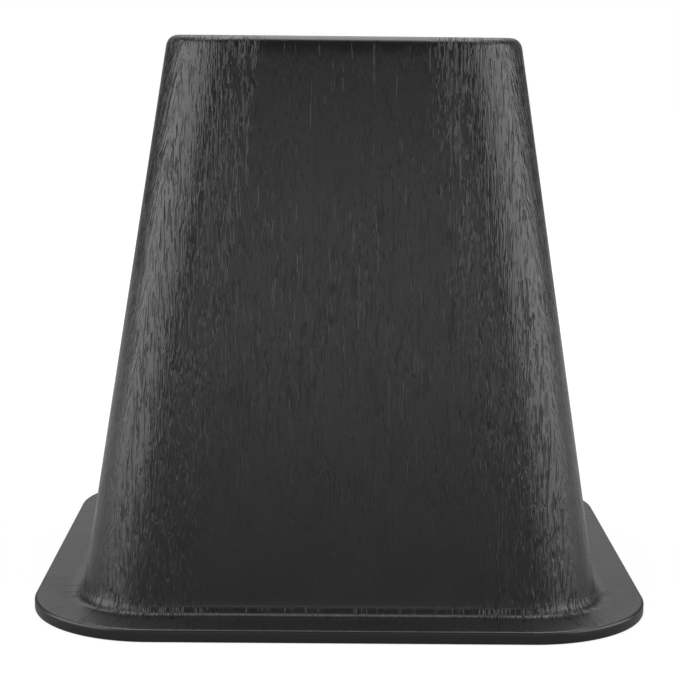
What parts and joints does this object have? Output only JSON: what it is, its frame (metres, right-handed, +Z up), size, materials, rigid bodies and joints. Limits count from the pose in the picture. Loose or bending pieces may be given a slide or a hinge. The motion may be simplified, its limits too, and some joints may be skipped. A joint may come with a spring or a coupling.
{
  "type": "bed riser",
  "caption": "Moulded black plastic bed riser: a hollow tapered block with rounded corners and wood-grain skin on a flat flange, with a square cup in its top that holds a bed leg.",
  "frame": {"origin": "centre of the base, on the floor", "axes": "+Z up through the leg cup, -Y to the front; the four sides are alike"},
  "size_m": [0.1642, 0.1642, 0.1524],
  "materials": {
    "black_plastic": "satin black polypropylene with an embossed wood grain outside, plain inside"
  },
  "bodies": {
    "root": {"riser": "black_plastic"}
  },
  "joints": []
}
